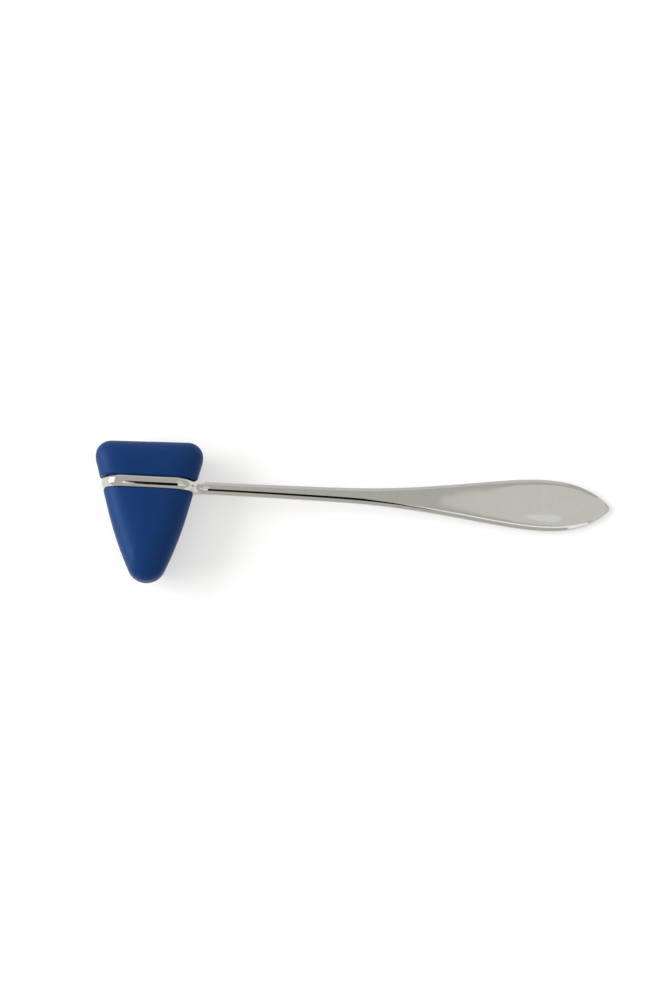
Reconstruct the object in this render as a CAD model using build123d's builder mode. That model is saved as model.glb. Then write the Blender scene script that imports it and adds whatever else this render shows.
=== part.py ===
from build123d import *
from math import asin, atan, degrees, radians, tan
import os

os.makedirs("parts", exist_ok=True)

# Reflex hammer: a moulded rubber head held in the loop of a cast metal handle.
# Sizes are in millimetres. While the pieces are formed, the loop is centred on the
# origin, the handle runs along +X, the wide end of the head points to +Y and the
# broad faces look up and down. The last section lays the hammer down as it rests.

# Loop round the head
band_height = 4.7
band_depth = 2.2
loop_width = 34.8
loop_thickness = 18.4
loop_corner = 6.0
neck_hollow = 8.0
neck_straight = 2.2
joint_overlap = 1.0
joint_step = 0.02

# Bevel round the loop and along both sides of the handle
bevel_run = 1.55
side_flat = 0.6
ridge_reach = 0.33

# Shank and leaf
handle_reach = 170.9
shank_width = band_height
shank_thickness = 3.4
leaf_width = 19.3
leaf_thickness = 3.0
leaf_crown = 70.0
point_width = 0.9
point_thickness = 1.1
point_angle = 50.2
sections = 18
section_crowding = 1.5

# Side line of the handle: each pair is a share of the way from neck to point and the
# share of the widening from shank to leaf that is reached there
widest_share = 0.828
side_line = (
    (0.235, 0.034),
    (0.407, 0.13),
    (0.545, 0.376),
    (0.683, 0.739),
    (widest_share, 1.0),
    (0.904, 0.841),
    (0.959, 0.404),
)

# Rubber head, sized from the loop that it fills
head_top = 15.9
top_overhang = 4.1
bend_inset = 2.9
bend_down = 10.0
apex_down = 44.4
face_proud = 0.1
face_round = 4.5
corner_extra = 1.1
tip_extra = 2.7
head_angle = 1.4
lip_bevel = 0.6
core_ease = 0.4

# Sizes of the head that follow from those of the loop
top_half = loop_width / 2 + top_overhang
bend_half = loop_width / 2 - bend_inset
half_head = loop_thickness / 2 + face_proud
top_corner = face_round + corner_extra
tip_round = face_round + tip_extra

# The hammer rests on the edge of the head's broad face that is nearest to the handle.
side_slope = (top_half - bend_half) / (head_top + bend_down)
head_rest_x = top_half - face_round * (side_slope + (1 + side_slope**2) ** 0.5)

# Handle: loop and neck, drawn as one outline seen along the head
half_neck = shank_width / 2
bevel_drop = (shank_thickness - side_flat) / 2
ridge_round = ridge_reach / tan(atan(bevel_drop / bevel_run) / 2)
corner_x = loop_width / 2 - loop_corner
corner_z = loop_thickness / 2 - loop_corner
hollow_z = shank_thickness / 2 + neck_hollow
hollow_x = corner_x + ((loop_corner + neck_hollow) ** 2 - (hollow_z - corner_z) ** 2) ** 0.5
meet_share = loop_corner / (loop_corner + neck_hollow)
meet_x = corner_x + meet_share * (hollow_x - corner_x)
meet_z = corner_z + meet_share * (hollow_z - corner_z)
neck_end = hollow_x + neck_straight
core_width = loop_width - 2 * band_depth
core_thickness = loop_thickness - 2 * band_depth
core_corner = loop_corner - band_depth
near_zero = 0.01

with BuildPart() as metal:
    with BuildSketch(Plane.XZ):
        with BuildLine():
            end_line = Line((neck_end, 0), (neck_end, shank_thickness / 2))
            top_line = Line(end_line @ 1, (hollow_x, shank_thickness / 2))
            hollow = RadiusArc(top_line @ 1, (meet_x, meet_z), neck_hollow)
            near_corner = RadiusArc(hollow @ 1, (corner_x, loop_thickness / 2), -loop_corner)
            front = Line(near_corner @ 1, (-corner_x, loop_thickness / 2))
            far_corner = RadiusArc(front @ 1, (-loop_width / 2, corner_z), -loop_corner)
            Line(far_corner @ 1, (-loop_width / 2, 0))
            mirror(about=Plane.XZ)
        make_face()
    extrude(amount=band_height / 2, both=True)

    # The bevel is cut on both rims of the outline, then its ridge is rounded.
    for side in (1, -1):
        rim_face = metal.faces().sort_by(Axis.Y)[-1 if side > 0 else 0]
        rim = rim_face.edges().filter_by_position(Axis.X, -loop_width, neck_end - near_zero)
        chamfer(rim, length=bevel_drop, length2=bevel_run, reference=rim_face)
    before_end = metal.edges().filter_by_position(Axis.X, -loop_width, neck_end - near_zero)
    for side in (1, -1):
        level = side * (half_neck - bevel_run)
        ridge = before_end.filter_by_position(Axis.Y, level - near_zero, level + near_zero)
        fillet(ridge, radius=ridge_round)

    # Opening that the rubber is held in
    with BuildSketch(Plane.XZ):
        RectangleRounded(core_width, core_thickness, core_corner)
    extrude(amount=band_height, both=True, mode=Mode.SUBTRACT)

# Handle: shank and leaf, carried through cross-sections that follow the side line.
# They start inside the neck and a hair smaller, so the two forms join cleanly.
shank_start = neck_end - joint_overlap
half_shank = half_neck - joint_step
half_leaf = leaf_width / 2
run_out = handle_reach - shank_start
with BuildLine() as side:
    Spline(
        [(shank_start, half_shank)]
        + [
            (shank_start + way * run_out, half_shank + share * (half_leaf - half_shank))
            for way, share in side_line
        ]
        + [(handle_reach, point_width / 2)],
        tangents=((1, 0), (1, -tan(radians(point_angle)))),
    )

rest_leans = []
with BuildPart() as blade:
    for step in range(sections + 1):
        spot = side.line @ (1 - (1 - step / sections) ** section_crowding)
        way = (spot.X - shank_start) / run_out
        # The thickness eases from shank to leaf and falls away towards the point.
        before = min(1, way / widest_share)
        past = max(0, (way - widest_share) / (1 - widest_share))
        thickness = (
            shank_thickness
            - 2 * joint_step
            + (leaf_thickness - shank_thickness) * before
            + (point_thickness - leaf_thickness) * past**2
        )
        # Close to the point the bevel and its rounded ridge shrink with the width.
        half_wide = spot.Y
        shrink = min(1, half_wide / half_shank)
        reach = ridge_reach * shrink
        crown_half = half_wide - bevel_run * shrink - reach
        crown_slope = crown_half / leaf_crown
        crown_lift = crown_half * crown_slope / 2
        shoulder = Vector(crown_half + reach, thickness / 2 - reach * crown_slope)
        brim = Vector(half_wide, side_flat / 2 * shrink)
        fall = (brim - shoulder).normalized()
        ridge_end = shoulder + fall * reach
        with BuildSketch(Plane.YZ.offset(spot.X)):
            with BuildLine():
                TangentArc((crown_half, thickness / 2), ridge_end, tangent=(1, -crown_slope))
                Line(ridge_end, brim)
                mirror(about=Plane.XZ)
                Line(brim, (brim.X, -brim.Y))
                mirror(about=Plane.YZ)
                for up in (1, -1):
                    ThreePointArc(
                        (-crown_half, up * thickness / 2),
                        (0, up * (thickness / 2 + crown_lift)),
                        (crown_half, up * thickness / 2),
                    )
            make_face()
        # Lean at which this cross-section of the leaf would touch the table
        if way > widest_share / 2:
            clear_height = half_head - thickness / 2 - crown_lift
            rest_leans.append(asin(clear_height / (spot.X - head_rest_x)))
    loft()

with BuildPart() as handle_form:
    add(metal.part)
    add(blade.part)

# Head: one rubber block, wide and flat-ended at the top, narrowing to a round tip.
with BuildPart() as block:
    with BuildSketch() as front_outline:
        with BuildLine():
            slant = Line((top_half, head_top), (bend_half, -bend_down))
            TangentArc(slant @ 1, (0, -apex_down), tangent=slant % 1)
            mirror(about=Plane.YZ)
            Line((-top_half, head_top), (top_half, head_top))
        make_face()
        fillet(front_outline.vertices().group_by(Axis.Y)[-1], radius=top_corner)
        fillet(front_outline.vertices().group_by(Axis.Y)[0], radius=tip_round)
    extrude(amount=half_head, both=True)
    broad_faces = block.faces().filter_by(Axis.Z)
    fillet(broad_faces.edges(), radius=face_round)

with BuildPart() as head_form:
    with Locations(Location((0, 0, 0), (0, 0, head_angle))):
        add(block.part)

    # Groove that the loop lies in, down to the core that fills the loop
    with BuildSketch(Plane.XZ):
        Rectangle(4 * top_half, 4 * half_head)
        RectangleRounded(
            core_width, core_thickness, core_corner + core_ease, mode=Mode.SUBTRACT
        )
    extrude(amount=band_height / 2, both=True, mode=Mode.SUBTRACT)

    # Lips along the mouth of the groove
    groove_walls = head_form.faces().filter_by(Axis.Y).filter_by_position(
        Axis.Y, -half_neck - near_zero, half_neck + near_zero
    )
    chamfer([edge for wall in groove_walls for edge in wall.outer_wire().edges()], lip_bevel)

# The hammer lies down: the leaf sinks until it meets the table that the head lies on.
# The origin ends up on the table, under the middle of the whole hammer.
lay_down = Rot(0, degrees(min(rest_leans)), 0)
laid = Compound([lay_down * handle_form.part, lay_down * head_form.part]).bounding_box()
rest = Location((-laid.center().X, -laid.center().Y, -laid.min.Z)) * lay_down

with BuildPart() as handle:
    with Locations(rest):
        add(handle_form.part)
handle.part.label = "handle"
export_step(handle.part, "parts/handle.step")

with BuildPart() as head:
    with Locations(rest):
        add(head_form.part)
head.part.label = "head"
export_step(head.part, "parts/head.step")
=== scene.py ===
import math

import bmesh
import bpy
import numpy as np
from mathutils import Matrix, Vector


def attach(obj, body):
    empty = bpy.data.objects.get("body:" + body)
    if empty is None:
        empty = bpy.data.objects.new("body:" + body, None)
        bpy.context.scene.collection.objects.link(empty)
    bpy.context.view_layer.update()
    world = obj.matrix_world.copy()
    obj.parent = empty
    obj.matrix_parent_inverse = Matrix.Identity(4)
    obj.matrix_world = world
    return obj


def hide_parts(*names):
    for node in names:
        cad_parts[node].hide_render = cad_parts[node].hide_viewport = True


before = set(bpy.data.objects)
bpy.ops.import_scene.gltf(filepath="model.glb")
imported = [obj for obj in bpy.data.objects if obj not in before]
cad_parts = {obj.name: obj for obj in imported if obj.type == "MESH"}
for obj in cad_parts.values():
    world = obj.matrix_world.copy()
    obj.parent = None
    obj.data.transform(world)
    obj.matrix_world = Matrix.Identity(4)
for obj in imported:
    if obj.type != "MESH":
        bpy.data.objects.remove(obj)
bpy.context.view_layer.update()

# The chromed handle: a flat bar of cast metal that opens into a loop at one end and widens
# into a pointed leaf at the other. One bevel runs round the loop and along both sides, and
# the whole is ground, polished by hand and plated with bright chrome.
MM = 0.001
HALF_BAND = 4.7 / 2
LOOP_HALF_WIDTH = 34.8 / 2
LOOP_HALF_THICK = 18.4 / 2
LOOP_CORNER = 8.0
LOOP_WALL = 2.2
NECK_HOLLOW = 8.0
BEVEL_RUN = 1.55
SIDE_FLAT = 1.1
RIDGE_REACH = 0.65
BAND_REACH = 0.95
BRIM_REACH = 0.22
SHANK_THICK = 3.4
LEAF_THICK = 3.0
LEAF_HALF_WIDTH = 19.3 / 2
LEAF_CROWN = 70.0
POINT_THICK = 1.1
POINT_HALF_WIDTH = 0.45
LEAF_START = 25.0
HANDLE_REACH = 170.9
WIDEST_SHARE = 0.828
SIDE_LINE = (
    (0.0, 0.0), (0.235, 0.034), (0.407, 0.13), (0.545, 0.376), (0.683, 0.739),
    (WIDEST_SHARE, 1.0), (0.904, 0.841), (0.959, 0.404),
)
POINT_SLOPE = -1.2
WELD = 2e-7

# Finish: the plating is slightly warm, with a faint haze and the long waves left by the polishing
CHROME_DEEP = (0.555, 0.545, 0.51, 1)
CHROME_PALE = (0.6, 0.59, 0.56, 1)
CHROME_ROUGHNESS, HAZE_ROUGHNESS = 0.02, 0.05
WAVE_SCALE, WAVE_STRENGTH, WAVE_DEPTH = 55.0, 0.35, 0.00016
HAZE_SCALE = 420.0
HAIRLINE_STRETCH = (60.0, 2600.0, 2600.0)
HAIRLINE_STRENGTH, HAIRLINE_DEPTH = 0.06, 0.00001

# Fineness of the mesh: faces across each strip of the section, and rows along the handle
CROWN_STEPS, RIDGE_STEPS, BEVEL_STEPS, BRIM_STEPS = 12, 7, 5, 5
FLANK_SHARES = (1 / 3, 2 / 3, 1)
WALL_STEPS = 2
END_STEPS, FRONT_STEPS = 4, 24
FAR_CORNER_STEPS, NEAR_CORNER_STEPS, HOLLOW_STEPS = 30, 22, 24
INSIDE_CORNER_STEPS = 6
LEAF_STEPS, LEAF_CROWDING = 220, 1.25
POINT_STEPS = 7

# How the hammer lies: the loop's middle, and the lean of the handle towards its point
LOOP_PLACE = Vector((-75.2018, 9.9344, 10.1518)) * MM
LEAN = math.radians(3.1229)


def through(knots, first_slope, last_slope):
    """A function for the smooth curve through the knots: a cubic spline with its end slopes given."""
    x, y = np.array(knots, float).T
    gap = np.diff(x)
    rows = np.zeros((len(x), len(x)))
    right = np.zeros(len(x))
    rows[0, :2], rows[-1, -2:] = (2, 1), (1, 2)
    right[0] = 3 * (y[1] - y[0]) / gap[0] ** 2 - 3 * first_slope / gap[0]
    right[-1] = 3 * last_slope / gap[-1] - 3 * (y[-1] - y[-2]) / gap[-1] ** 2
    for i in range(1, len(x) - 1):
        rows[i, i - 1:i + 2] = gap[i - 1], 2 * (gap[i - 1] + gap[i]), gap[i]
        right[i] = 3 * ((y[i + 1] - y[i]) / gap[i] - (y[i] - y[i - 1]) / gap[i - 1])
    bend = np.linalg.solve(rows, right)

    def value(at):
        i = int(np.clip(np.searchsorted(x, at) - 1, 0, len(gap) - 1))
        slope = (y[i + 1] - y[i]) / gap[i] - gap[i] * (2 * bend[i] + bend[i + 1]) / 3
        t = at - x[i]
        return y[i] + slope * t + bend[i] * t**2 + (bend[i + 1] - bend[i]) / (3 * gap[i]) * t**3

    return value


run_out = HANDLE_REACH - LEAF_START
side = through(
    [
        (LEAF_START + way * run_out, HALF_BAND + share * (LEAF_HALF_WIDTH - HALF_BAND))
        for way, share in SIDE_LINE
    ]
    + [(HANDLE_REACH, POINT_HALF_WIDTH)],
    0.0,
    POINT_SLOPE,
)


def half_width(x):
    return HALF_BAND if x < LEAF_START else side(x)


def half_thickness(x):
    way = max(0.0, (x - LEAF_START) / run_out)
    before = min(1.0, way / WIDEST_SHARE)
    past = max(0.0, (way - WIDEST_SHARE) / (1 - WIDEST_SHARE))
    full = SHANK_THICK + (LEAF_THICK - SHANK_THICK) * before + (POINT_THICK - LEAF_THICK) * past**2
    return full / 2


def turned(a, b, c, steps):
    """Points of the rounding from a to c that bends towards the corner b, without a itself."""
    a, b, c = (np.array(p, float) for p in (a, b, c))
    shares = np.linspace(0, 1, steps + 1)[1:, None]
    return (1 - shares) ** 2 * a + 2 * shares * (1 - shares) * b + shares**2 * c


def section(x, ridge_reach=RIDGE_REACH):
    """A quarter of the cross-section at x, from the top's middle to the side, as (out, height)."""
    wide, thick = half_width(x), half_thickness(x)
    shrink = min(1.0, wide / HALF_BAND)
    reach = ridge_reach * shrink
    crown = max(0.0, wide - BEVEL_RUN * shrink - reach)
    out = np.linspace(0, 1, CROWN_STEPS + 1) * crown
    top = np.stack([out, thick + (crown**2 - out**2) / (2 * LEAF_CROWN)], 1)
    shoulder = np.array((crown + reach, thick - reach * crown / LEAF_CROWN))
    brim = np.array((wide, SIDE_FLAT / 2 * shrink))
    fall = (brim - shoulder) / np.linalg.norm(brim - shoulder)
    brim_start = brim - fall * BRIM_REACH * shrink
    ridge = turned(top[-1], shoulder, shoulder + fall * reach, RIDGE_STEPS)
    bevel = np.linspace(ridge[-1], brim_start, BEVEL_STEPS + 1)[1:]
    rim_end = brim - (0, min(BRIM_REACH, SIDE_FLAT / 2) * shrink)
    rim = turned(brim_start, brim, rim_end, BRIM_STEPS)
    return np.concatenate([top, ridge, bevel, rim])


def around(centre, radius, first, last, steps, bulge):
    """Stations on an arc: each one's place, and the direction that faces out there."""
    for a in np.radians(np.linspace(first, last, steps + 1)):
        ray = np.array((math.cos(a), math.sin(a)))
        yield np.array(centre) + radius * ray, bulge * ray


# Outline of loop and neck, seen along the head, from the loop's far end to the shank
corner = np.array((LOOP_HALF_WIDTH - LOOP_CORNER, LOOP_HALF_THICK - LOOP_CORNER))
hollow = np.array((0.0, SHANK_THICK / 2 + NECK_HOLLOW))
hollow[0] = corner[0] + math.sqrt((LOOP_CORNER + NECK_HOLLOW) ** 2 - (hollow[1] - corner[1]) ** 2)
meet = math.degrees(math.atan2(*(hollow - corner)[::-1]))
ring = [((-LOOP_HALF_WIDTH, z), (-1, 0)) for z in np.linspace(0, corner[1], END_STEPS + 1)[:-1]]
ring += list(around((-corner[0], corner[1]), LOOP_CORNER, 180, 90, FAR_CORNER_STEPS, 1))
ring += [
    ((x, LOOP_HALF_THICK), (0, 1))
    for x in np.linspace(-corner[0], corner[0], FRONT_STEPS + 1)[1:-1]
]
ring += list(around(corner, LOOP_CORNER, 90, meet, NEAR_CORNER_STEPS, 1))
neck = list(around(hollow, NECK_HOLLOW, 180 + meet, 270, HOLLOW_STEPS, -1))[1:]
point_start = HANDLE_REACH - POINT_HALF_WIDTH
leaf = hollow[0] + (point_start - hollow[0]) * (
    1 - (1 - np.linspace(0, 1, LEAF_STEPS + 1)[1:]) ** LEAF_CROWDING
)

# Inside the loop the side wall ends at the opening, and past it on the middle plane.
opening_x = LOOP_HALF_WIDTH - LOOP_WALL
rest_of_corner = [
    p for p, _ in around(corner, LOOP_CORNER - LOOP_WALL, meet, 0, INSIDE_CORNER_STEPS, 1)
][1:] + [(opening_x, z) for z in np.linspace(corner[1], 0, END_STEPS + 1)[1:]]
inner = [np.array(p, float) - LOOP_WALL * np.array(n, float) for p, n in ring]
inner += [np.array(p, float) for p in rest_of_corner]
opening_rows = len(inner)
inner += [
    np.array((x, 0.0))
    for x in np.linspace(opening_x, hollow[0], len(neck) - len(rest_of_corner) + 1)[1:]
]

# Rows of points as (along, across, up): the ridge is rounder on the loop than on the shank.
rows = []
for i, (place, outward) in enumerate(ring + neck):
    place, outward = np.array(place, float), np.array(outward, float)
    reach = BAND_REACH + (RIDGE_REACH - BAND_REACH) * max(0, (i - len(ring)) / (len(neck) - 1))
    row = []
    for out, height in section(0, reach):
        x, z = place - outward * (SHANK_THICK / 2 - height)
        row.append((x, out, z))
    rows.append(row)
for x in leaf:
    rows.append([(x, out, height) for out, height in section(x)])
    inner.append(np.array((x, 0.0)))
for turn in np.radians(np.linspace(0, 90, POINT_STEPS + 1)[1:]):
    size = math.cos(turn)
    x = point_start + POINT_HALF_WIDTH * math.sin(turn)
    rows.append([(x, out * size, height * size) for out, height in section(point_start)])
    inner.append(np.array((x, 0.0)))
for row, (foot_x, foot_z) in zip(rows, inner):
    last = np.array(row[-1])
    foot = np.array((foot_x, last[1], foot_z))
    row += [tuple(last + (foot - last) * share) for share in FLANK_SHARES]
opening_wall = [
    [(x, y, z) for y in np.linspace(HALF_BAND, 0, WALL_STEPS + 1)] for x, z in inner[:opening_rows]
]


class Wire:
    """A socket of a node tree. Sums and products of it add the tree's own Math nodes."""

    def __init__(self, tree, socket):
        self.tree, self.socket = tree, socket

    def maths(self, operation, first, second):
        return node(self.tree, "ShaderNodeMath", {"operation": operation}, {0: first, 1: second})

    def __add__(self, other):
        return self.maths("ADD", self, other)

    def __mul__(self, other):
        return self.maths("MULTIPLY", self, other)

    __radd__ = __add__
    __rmul__ = __mul__


def node(tree, kind, settings, sockets, output=0):
    """A node with its settings made first, then its sockets filled with values or wires."""
    made = tree.nodes.new(kind)
    for key, value in settings.items():
        if key == "stops":
            for stop, (place, colour) in zip(made.color_ramp.elements, value):
                stop.position, stop.color = place, colour
        else:
            setattr(made, key, value)
    for key, value in sockets.items():
        if isinstance(value, Wire):
            tree.links.new(value.socket, made.inputs[key])
        else:
            made.inputs[key].default_value = value
    return Wire(tree, made.outputs[output]) if len(made.outputs) else made


# Sockets of Mix for colours. They share their names with those for numbers, so they go by place.
MIX_SHARE, MIX_FIRST, MIX_SECOND, MIX_RESULT = 0, 6, 7, 2


def mixed(tree, share, first, second):
    """The colour between the first and the second, by a share."""
    return node(
        tree, "ShaderNodeMix", {"data_type": "RGBA"},
        {MIX_SHARE: share, MIX_FIRST: first, MIX_SECOND: second}, output=MIX_RESULT,
    )


def material(name):
    """An empty node material, and its tree."""
    made = bpy.data.materials.new(name)
    made.use_nodes = True
    made.node_tree.nodes.clear()
    return made, made.node_tree


def noise(tree, where, scale, detail, roughness=0.5):
    """An uneven pattern from 0 to 1, with so many waves to the metre."""
    return node(
        tree, "ShaderNodeTexNoise", {},
        {"Vector": where, "Scale": scale, "Detail": detail, "Roughness": roughness},
    )


chrome, tree = material("bright_chrome")
where = node(tree, "ShaderNodeTexCoord", {}, {}, output="Object")
waves = noise(tree, where, WAVE_SCALE, 1.0)
haze = noise(tree, where, HAZE_SCALE, 4.0, 0.6)
hairlines = noise(
    tree,
    node(tree, "ShaderNodeMapping", {}, {"Vector": where, "Scale": HAIRLINE_STRETCH}),
    1.0, 3.0,
)
rolled = node(
    tree, "ShaderNodeBump", {},
    {"Strength": WAVE_STRENGTH, "Distance": WAVE_DEPTH, "Height": waves},
)
brushed = node(
    tree, "ShaderNodeBump", {},
    {
        "Strength": HAIRLINE_STRENGTH, "Distance": HAIRLINE_DEPTH,
        "Height": hairlines, "Normal": rolled,
    },
)
surface = node(
    tree, "ShaderNodeBsdfPrincipled", {},
    {
        "Base Color": mixed(tree, haze, CHROME_DEEP, CHROME_PALE),
        "Metallic": 1.0,
        "Roughness": CHROME_ROUGHNESS + haze * HAZE_ROUGHNESS,
        "Normal": brushed,
    },
)
node(tree, "ShaderNodeOutputMaterial", {}, {"Surface": surface})

quarter_points, quarter_faces = [], []
for grid in (rows, opening_wall):
    base, wide = len(quarter_points), len(grid[0])
    quarter_points += [Vector(p) * MM for row in grid for p in row]
    for i in range(len(grid) - 1):
        for j in range(wide - 1):
            first = base + i * wide + j
            quarter_faces.append((first, first + 1, first + wide + 1, first + wide))
quarter = bpy.data.meshes.new("handle_quarter")
quarter.from_pydata(quarter_points, [], quarter_faces)
handle = bpy.data.objects.new("chromed_handle", quarter)
bpy.context.scene.collection.objects.link(handle)

# The tree mirrors the quarter across and then up and down, and lays the handle in its place.
tree = bpy.data.node_groups.new("mirrored_handle", "GeometryNodeTree")
asked = {
    name: tree.interface.new_socket(name, in_out="INPUT", socket_type="NodeSocket" + kind)
    for name, kind in (
        ("Quarter", "Geometry"), ("Weld distance", "Float"), ("Loop place", "Vector"),
        ("Lean", "Vector"), ("Finish", "Material"),
    )
}
tree.interface.new_socket("Handle", in_out="OUTPUT", socket_type="NodeSocketGeometry")
inputs = tree.nodes.new("NodeGroupInput")
given = {name: Wire(tree, inputs.outputs[name]) for name in asked}
form = given["Quarter"]
for flip in ((1, -1, 1), (1, 1, -1)):
    copy = node(tree, "GeometryNodeTransform", {}, {"Geometry": form, "Scale": flip})
    copy = node(tree, "GeometryNodeFlipFaces", {}, {"Mesh": copy})
    pair = node(tree, "GeometryNodeJoinGeometry", {}, {"Geometry": form})
    tree.links.new(copy.socket, pair.socket.node.inputs["Geometry"])
    form = pair
form = node(
    tree, "GeometryNodeMergeByDistance", {}, {"Geometry": form, "Distance": given["Weld distance"]}
)
form = node(
    tree, "GeometryNodeTransform", {},
    {"Geometry": form, "Translation": given["Loop place"], "Rotation": given["Lean"]},
)
form = node(tree, "GeometryNodeRealizeInstances", {}, {"Geometry": form})
form = node(tree, "GeometryNodeSetMaterial", {}, {"Geometry": form, "Material": given["Finish"]})
node(tree, "NodeGroupOutput", {}, {"Handle": form})
mirrored = handle.modifiers.new("mirrored", "NODES")
mirrored.node_group = tree
mirrored[asked["Weld distance"].identifier] = WELD
mirrored[asked["Loop place"].identifier] = tuple(LOOP_PLACE)
mirrored[asked["Lean"].identifier] = (0.0, LEAN, 0.0)
mirrored[asked["Finish"].identifier] = chrome
bpy.context.view_layer.update()
finished = handle.evaluated_get(bpy.context.evaluated_depsgraph_get())
whole = bpy.data.meshes.new_from_object(finished)
handle.modifiers.remove(mirrored)
handle.data = whole


def smoothed(piece):
    """Closes a piece's mesh, turns its faces outwards and shades it smoothly."""
    work = bmesh.new()
    work.from_mesh(piece.data)
    bmesh.ops.remove_doubles(work, verts=work.verts, dist=WELD)
    bmesh.ops.dissolve_degenerate(work, edges=work.edges, dist=WELD)
    bmesh.ops.recalc_face_normals(work, faces=work.faces)
    for face in work.faces:
        face.smooth = True
    work.to_mesh(piece.data)
    work.free()
    even = piece.modifiers.new("even shading", "WEIGHTED_NORMAL")
    even.weight = 90
    even.keep_sharp = True


smoothed(handle)
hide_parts("handle")
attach(handle, "root")

# The rubber head: a solid moulded block, broad and blunt at one end and narrowing to a round
# tip. Its core fills the loop, and the lips on both sides close on the metal.
HEAD_TOP = 15.9
HEAD_HALF_WIDTH = LOOP_HALF_WIDTH + 4.1
BEND_HALF_WIDTH = LOOP_HALF_WIDTH - 2.9
BEND_DOWN = 10.0
APEX_DOWN = 44.4
TOP_CORNER = 5.6
TIP_ROUND = 7.2
HALF_HEAD = LOOP_HALF_THICK + 0.1
HALF_WALL = 2.2
PILLOW_POWER = 4.2
PILLOW_MIDDLE = np.array((0.0, -3.0))
PINCH_DEPTH = 0.9
PINCH_REACH = 3.4
HEAD_TURN = 1.4
LIP_ROUND = 0.6
CORE_CORNER = LOOP_CORNER - LOOP_WALL + 0.4
CORE_END = 1.0

# Finish: a matt blue with a soft sheen, slightly clouded and dusty, as moulded rubber is
BLUE_DEEP = (0.003, 0.0225, 0.113, 1)
BLUE_PALE = (0.0045, 0.029, 0.135, 1)
BLUE_DUST = (0.02, 0.07, 0.19, 1)
DUST_SHARE, DUST_FROM, DUST_TO = 0.1, 0.55, 0.8
SHEEN_LEVEL, SHEEN_TINT = 0.27, (0.35, 0.7, 1.0, 1.0)
RUBBER_ROUGHNESS, CLOUD_ROUGHNESS = 0.46, 0.12
CLOUD_SCALE, SPECK_SCALE, SKIN_SCALE = 160.0, 2600.0, 5200.0
SKIN_STRENGTH, SKIN_DEPTH, CLOUD_HEIGHT = 0.25, 0.00006, 0.6

# Fineness of the mesh: points round the outline, and rows over the broad face, in degrees
TOP_STEPS, SLANT_STEPS, ARC_STEPS = 8, 21, 18
FACE_TURNS = np.concatenate([np.linspace(0, 86, 30), (88, 89.3)])
LIP_TURNS = (18, 36, 54, 72, 90)

slant = np.array((HEAD_HALF_WIDTH - BEND_HALF_WIDTH, HEAD_TOP + BEND_DOWN))
slant /= np.linalg.norm(slant)
slant_out = np.array((slant[1], -slant[0]))
bend = np.array((BEND_HALF_WIDTH, -BEND_DOWN))
chord = np.array((0, -APEX_DOWN)) - bend
side_radius = -(chord @ chord) / (2 * (chord @ slant_out))
side_centre = bend - side_radius * slant_out
tip_y = side_centre[1] - math.sqrt((side_radius - TIP_ROUND) ** 2 - side_centre[0] ** 2)
tip_turn = math.degrees(math.atan2(tip_y - side_centre[1], -side_centre[0]))
slant_turn = math.degrees(math.atan2(slant_out[1], slant_out[0]))
corner_y = HEAD_TOP - TOP_CORNER
on_slant = bend + slant * (corner_y + BEND_DOWN) / slant[1]
corner_at = np.array((on_slant[0] - TOP_CORNER / slant_out[0], corner_y))
half_outline = [
    np.array((x, HEAD_TOP)) for x in np.linspace(0, corner_at[0], TOP_STEPS + 1)[:-1]
]
half_outline += [p for p, _ in around(corner_at, TOP_CORNER, 90, slant_turn, ARC_STEPS, 1)]
half_outline += list(
    np.linspace(corner_at + TOP_CORNER * slant_out, bend, SLANT_STEPS + 1)[1:-1]
)
half_outline += [
    p for p, _ in around(side_centre, side_radius, slant_turn, tip_turn, ARC_STEPS, 1)
]
half_outline += [p for p, _ in around((0, tip_y), TIP_ROUND, tip_turn, -90, ARC_STEPS, 1)][1:]
outline = half_outline + [p * (-1, 1) for p in half_outline[-2:0:-1]]


def pinched(x, y, z):
    """The place of a point once the loop has squeezed the rubber beside it."""
    away = max(0.0, abs(y) - HALF_BAND)
    return x, y, z * (1 - PINCH_DEPTH / HALF_HEAD * math.exp(-((away / PINCH_REACH) ** 2)))


# The broad face swells like a pillow: steep beside the side wall, nearly level in the middle.
upper = [[(*p, share * HALF_WALL) for p in outline] for share in (0, 0.5)]
for turn in np.radians(FACE_TURNS):
    share, rise = math.cos(turn) ** (2 / PILLOW_POWER), math.sin(turn)
    level = HALF_WALL + (HALF_HEAD - HALF_WALL) * rise
    upper.append([(*(PILLOW_MIDDLE + (p - PILLOW_MIDDLE) * share), level) for p in outline])
upper = [[pinched(*p) for p in row] for row in upper]
head_rows = [[(x, y, -z) for x, y, z in row] for row in upper[:0:-1]] + upper
points = [p for row in head_rows for p in row]
faces = []
count = len(outline)
for i in range(len(head_rows) - 1):
    for j in range(count):
        k = (j + 1) % count
        faces.append((i * count + j, i * count + k, (i + 1) * count + k, (i + 1) * count + j))
faces += [tuple(range(count)), tuple(range(len(points) - count, len(points)))]
turn_head = Matrix.Rotation(math.radians(HEAD_TURN), 4, "Z")
points = [tuple(turn_head @ Vector(p)) for p in points]


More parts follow.
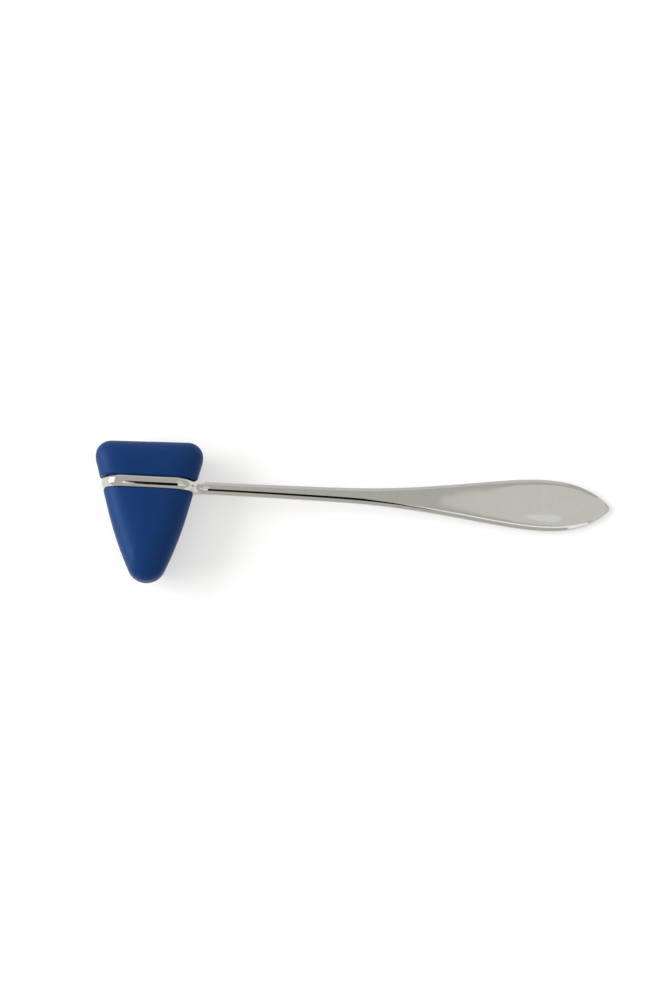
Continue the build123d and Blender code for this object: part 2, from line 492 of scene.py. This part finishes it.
def lipped_half(work, up):
    """Cuts the block beside the groove, rolls the lip over and carries the cut down to the core."""
    level = up * (HALF_BAND + LIP_ROUND)
    bmesh.ops.bisect_plane(
        work, geom=work.verts[:] + work.edges[:] + work.faces[:],
        plane_co=(0, level, 0), plane_no=(0, up, 0), clear_inner=True,
    )
    rim = [e for e in work.edges if len(e.link_faces) == 1]
    loop, edge = [rim[0].verts[0]], rim[0]
    while len(loop) < len(rim):
        step = edge.other_vert(loop[-1])
        loop.append(step)
        edge = next(e for e in step.link_edges if e in set(rim) and e is not edge)
    flat = np.array([(v.co.x, v.co.z) for v in loop])
    along = np.roll(flat, -1, 0) - np.roll(flat, 1, 0)
    across = np.stack([along[:, 1], -along[:, 0]], 1)
    across /= np.linalg.norm(across, axis=1)[:, None]
    if ((flat * across).sum(1)).mean() < 0:
        across = -across
    rings = []
    for turn in np.radians(LIP_TURNS):
        inset = flat - across * LIP_ROUND * (1 - math.cos(turn))
        rings.append((inset, level - up * LIP_ROUND * math.sin(turn)))
    rect = np.array((LOOP_HALF_WIDTH - LOOP_WALL, LOOP_HALF_THICK - LOOP_WALL)) - CORE_CORNER
    near = np.clip(rings[-1][0], -rect, rect)
    ray = rings[-1][0] - near
    core = near + CORE_CORNER * ray / np.linalg.norm(ray, axis=1)[:, None]
    rings += [(core, up * HALF_BAND), (core, -up * CORE_END)]
    before = loop
    for ring_flat, y in rings:
        row = [work.verts.new((x, y, z)) for x, z in ring_flat]
        for i in range(len(row)):
            j = (i + 1) % len(row)
            work.faces.new((before[i], before[j], row[j], row[i]))
        before = row
    work.faces.new(before)


# The two halves overlap inside the core, where the loop hides them.
both, both_faces = [], []
for up in (1, -1):
    raw = bpy.data.meshes.new("raw")
    raw.from_pydata(points, [], faces)
    work = bmesh.new()
    work.from_mesh(raw)
    lipped_half(work, up)
    work.verts.index_update()
    base = len(both)
    both += [tuple(v.co) for v in work.verts]
    both_faces += [tuple(base + v.index for v in f.verts) for f in work.faces]
    work.free()
    bpy.data.meshes.remove(raw)
laid_down = Matrix.Translation(LOOP_PLACE) @ Matrix.Rotation(LEAN, 4, "Y")
block = bpy.data.meshes.new("rubber_head")
block.from_pydata([laid_down @ (Vector(p) * MM) for p in both], [], both_faces)
head = bpy.data.objects.new("rubber_head", block)
bpy.context.scene.collection.objects.link(head)
smoothed(head)

rubber, tree = material("blue_rubber")
where = node(tree, "ShaderNodeTexCoord", {}, {}, output="Object")
cloud = noise(tree, where, CLOUD_SCALE, 5.0, 0.6)
speck = noise(tree, where, SPECK_SCALE, 3.0, 0.6)
skin = noise(tree, where, SKIN_SCALE, 2.0)
dusty = node(
    tree, "ShaderNodeValToRGB", {"stops": ((DUST_FROM, (0, 0, 0, 1)), (DUST_TO, (1, 1, 1, 1)))},
    {"Fac": speck},
)
clouded = mixed(tree, cloud, BLUE_DEEP, BLUE_PALE)
grain = node(
    tree, "ShaderNodeBump", {},
    {"Strength": SKIN_STRENGTH, "Distance": SKIN_DEPTH, "Height": skin + cloud * CLOUD_HEIGHT},
)
surface = node(
    tree, "ShaderNodeBsdfPrincipled", {},
    {
        "Base Color": mixed(tree, dusty * DUST_SHARE, clouded, BLUE_DUST),
        "Roughness": RUBBER_ROUGHNESS + cloud * CLOUD_ROUGHNESS,
        "Specular IOR Level": SHEEN_LEVEL,
        "Specular Tint": SHEEN_TINT,
        "Normal": grain,
    },
)
node(tree, "ShaderNodeOutputMaterial", {}, {"Surface": surface})
head.data.materials.append(rubber)
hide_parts("head")
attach(head, "root")


# The studio: a white paper table top, an evenly lit room, one soft window on the left, and flat
# cards for the chrome to mirror. None of it is part of the hammer.
TABLE_REACH = 4.0
PAPER, PAPER_LIFT = 0.62, 0.42
ROOM_COLOUR, ROOM_LEVEL = (1, 0.985, 0.955, 1), 0.66
WINDOW_SIZE, WINDOW_POWER = (2.2, 1.2), 62
WINDOW_PLACE, WINDOW_AIM = Vector((-2.0, 0.15, 0.95)), Vector((-0.07, 0, 0))
WHITE = (1, 1, 1)

# Each card: its name, middle, the point it faces, width, height, level, colour, corners, and
# whether it is seen only in reflections. A card with many corners is an oval.
CARDS = (
    (
        "ceiling_light", (0.61, 0.19, 1.0), (0.61, 0.19, 0.0), 0.88, 1.12,
        0.88, (1, 0.995, 0.97), 96, False,
    ),
    (
        "near_shade", (-0.0175, -0.127, 0.2495), (-0.0175, 0, 0), 0.107, 0.226,
        0.012, (1, 0.72, 0.55), 4, True,
    ),
    ("near_window", (0.286, -0.15, 0.236), (0.286, 0, 0), 0.5, 0.09, 1.35, WHITE, 4, True),
    ("end_window", (-0.079, -0.14, 0.2425), (-0.079, 0, 0), 0.014, 0.14, 1.3, WHITE, 4, True),
    ("far_wall", (0.0, 1.6, 0.36), (0.0, 0, 0.36), 3.6, 0.72, 0.83, WHITE, 4, True),
    (
        "leaf_lamp", (0.272, 0.055, 0.985), (0.272, 0.055, 0.0), 0.1, 0.085,
        1.08, (0.93, 0.95, 1.0), 48, True,
    ),
)

floor_mesh = bpy.data.meshes.new("table_top")
square = [(-1, -1), (1, -1), (1, 1), (-1, 1)]
floor_mesh.from_pydata([(x * TABLE_REACH, y * TABLE_REACH, 0) for x, y in square], [], [(0, 1, 2, 3)])
floor = bpy.data.objects.new("table_top", floor_mesh)
bpy.context.scene.collection.objects.link(floor)
pale, tree = material("pale_top")
by_camera = node(tree, "ShaderNodeLightPath", {}, {}, output="Is Camera Ray")
by_gloss = node(tree, "ShaderNodeLightPath", {}, {}, output="Is Glossy Ray")
lift = node(
    tree, "ShaderNodeEmission", {},
    {"Color": (*WHITE, 1), "Strength": (by_camera + by_gloss) * PAPER_LIFT},
)
paper = node(tree, "ShaderNodeBsdfDiffuse", {}, {"Color": (PAPER, PAPER, PAPER, 1)})
lifted_paper = node(tree, "ShaderNodeAddShader", {}, {0: paper, 1: lift})
node(tree, "ShaderNodeOutputMaterial", {}, {"Surface": lifted_paper})
floor_mesh.materials.append(pale)

for name, middle, faced, width, height, level, colour, corners, mirrored_only in CARDS:
    if corners == len(square):
        shape = [(x * width / 2, y * height / 2, 0) for x, y in square]
    else:
        turns = [2 * math.pi * i / corners for i in range(corners)]
        shape = [(width / 2 * math.cos(t), height / 2 * math.sin(t), 0) for t in turns]
    mesh = bpy.data.meshes.new(name)
    mesh.from_pydata(shape, [], [tuple(range(corners))])
    card = bpy.data.objects.new(name, mesh)
    card.location = middle
    card.rotation_mode = "QUATERNION"
    card.rotation_quaternion = (Vector(faced) - Vector(middle)).to_track_quat("Z", "Y")
    bpy.context.scene.collection.objects.link(card)
    glow, tree = material(name)
    light = node(tree, "ShaderNodeEmission", {}, {"Color": (*colour, 1), "Strength": level})
    node(tree, "ShaderNodeOutputMaterial", {}, {"Surface": light})
    mesh.materials.append(glow)
    card.visible_camera = card.visible_diffuse = card.visible_shadow = not mirrored_only

world = bpy.data.worlds.new("soft_room")
bpy.context.scene.world = world
world.use_nodes = True
world.node_tree.nodes.clear()
room = node(
    world.node_tree, "ShaderNodeBackground", {}, {"Color": ROOM_COLOUR, "Strength": ROOM_LEVEL}
)
node(world.node_tree, "ShaderNodeOutputWorld", {}, {"Surface": room})

window_data = bpy.data.lights.new("window_light", "AREA")
window_data.shape = "RECTANGLE"
window_data.size, window_data.size_y = WINDOW_SIZE
window_data.energy = WINDOW_POWER
window = bpy.data.objects.new("window_light", window_data)
window.location = WINDOW_PLACE
window.rotation_mode = "QUATERNION"
window.rotation_quaternion = (WINDOW_AIM - WINDOW_PLACE).to_track_quat("-Z", "Y")
bpy.context.scene.collection.objects.link(window)

# The camera looks down on the hammer, leaning a little from the tip's side, at the
# photograph's angle. The aim is the middle of the view, about half-way up the head.
DISTANCE = 1.2
TILT = math.radians(11.0)
ROLL = math.radians(2.34)
AIM = Vector((-0.0070, 0.0075, 0.009))
PICTURE_HEIGHT = 0.3684
FILM = 36.0
camera_data = bpy.data.cameras.new("camera")
camera_data.sensor_width = FILM
camera_data.lens = FILM * DISTANCE / PICTURE_HEIGHT
camera = bpy.data.objects.new("camera", camera_data)
back = Vector((0, -math.sin(TILT), math.cos(TILT)))
camera.location = AIM + back * DISTANCE
camera.rotation_mode = "QUATERNION"
camera.rotation_quaternion = (
    Matrix.Rotation(ROLL, 3, back) @ Matrix.Rotation(TILT, 3, "X")
).to_quaternion()
bpy.context.scene.collection.objects.link(camera)
bpy.context.scene.camera = camera
bpy.context.scene.view_settings.view_transform = "Standard"

bpy.context.view_layer.update()
